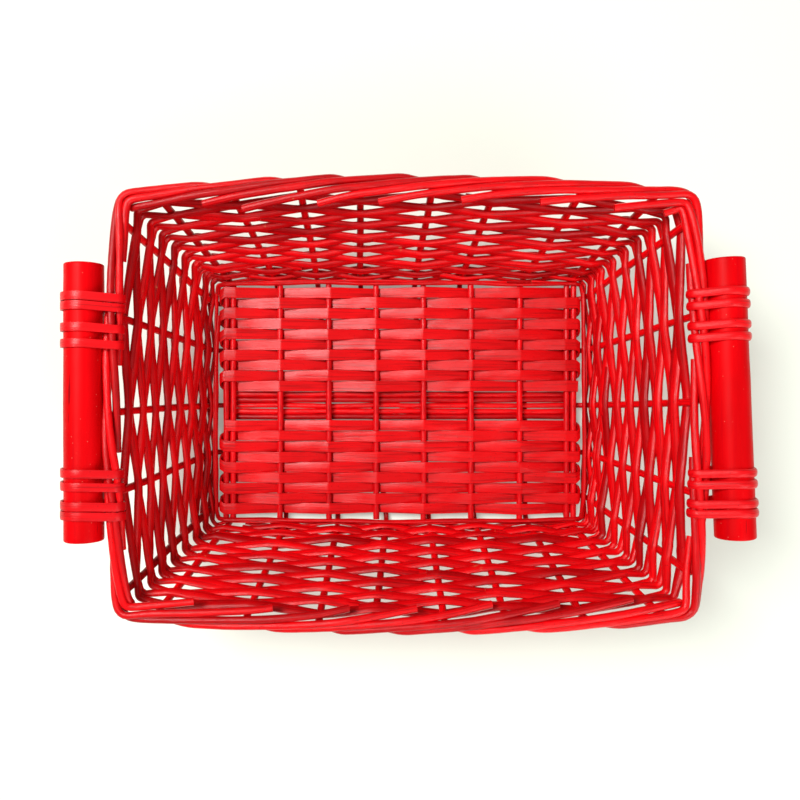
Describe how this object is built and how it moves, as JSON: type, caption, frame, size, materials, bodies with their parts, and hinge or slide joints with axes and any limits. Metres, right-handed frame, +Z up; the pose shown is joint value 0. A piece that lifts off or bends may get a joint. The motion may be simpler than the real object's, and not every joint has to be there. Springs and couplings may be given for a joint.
{
  "type": "rectangular basket",
  "caption": "Rectangular woven willow basket with flared walls, a splint base and a round wooden handle lashed to each short end.",
  "frame": {"origin": "middle of the footprint of the whole basket with its handles, on the surface that it stands on", "axes": "+X along the long sides towards the right-hand handle, +Y across to the back long side, +Z up"},
  "size_m": [0.4244, 0.2796, 0.118],
  "materials": {
    "willow": "red stain and thin satin lacquer on peeled willow rods",
    "base_rod": "red stain on thicker base rods",
    "splint": "red stain on flat wood splints",
    "handle_wood": "red paint, satin, on turned wood",
    "cane": "red stain and satin lacquer on half-round cane"
  },
  "bodies": {
    "root": {"side_stake_1": "willow", "side_stake_2": "willow", "side_stake_3": "willow", "side_stake_4": "willow", "side_stake_5": "willow", "side_stake_6": "willow", "side_stake_7": "willow", "side_stake_8": "willow", "end_stake_1": "willow", "end_stake_2": "willow", "end_stake_3": "willow", "end_stake_4": "willow", "end_stake_5": "willow", "centre_rod_1": "base_rod", "centre_rod_2": "base_rod", "centre_rod_3": "base_rod", "centre_rod_4": "base_rod", "base_stick_1": "base_rod", "base_stick_2": "base_rod", "base_stick_3": "base_rod", "base_stick_4": "base_rod", "base_stick_5": "base_rod", "base_stick_6": "base_rod", "base_stick_7": "base_rod", "base_stick_8": "base_rod", "base_stick_9": "base_rod", "base_stick_10": "base_rod", "base_splint_back": "splint", "base_splint_front": "splint", "weaver_01": "willow", "weaver_02": "willow", "weaver_03": "willow", "weaver_04": "willow", "weaver_05": "willow", "weaver_06": "willow", "weaver_07": "willow", "weaver_08": "willow", "weaver_09": "willow", "weaver_10": "willow", "weaver_11": "willow", "weaver_12": "willow", "weaver_13": "willow", "weaver_14": "willow", "weaver_15": "willow", "handle_left": "handle_wood", "handle_right": "handle_wood", "lashing_left_back": "cane", "lashing_left_front": "cane", "lashing_right_back": "cane", "lashing_right_front": "cane"}
  },
  "joints": []
}
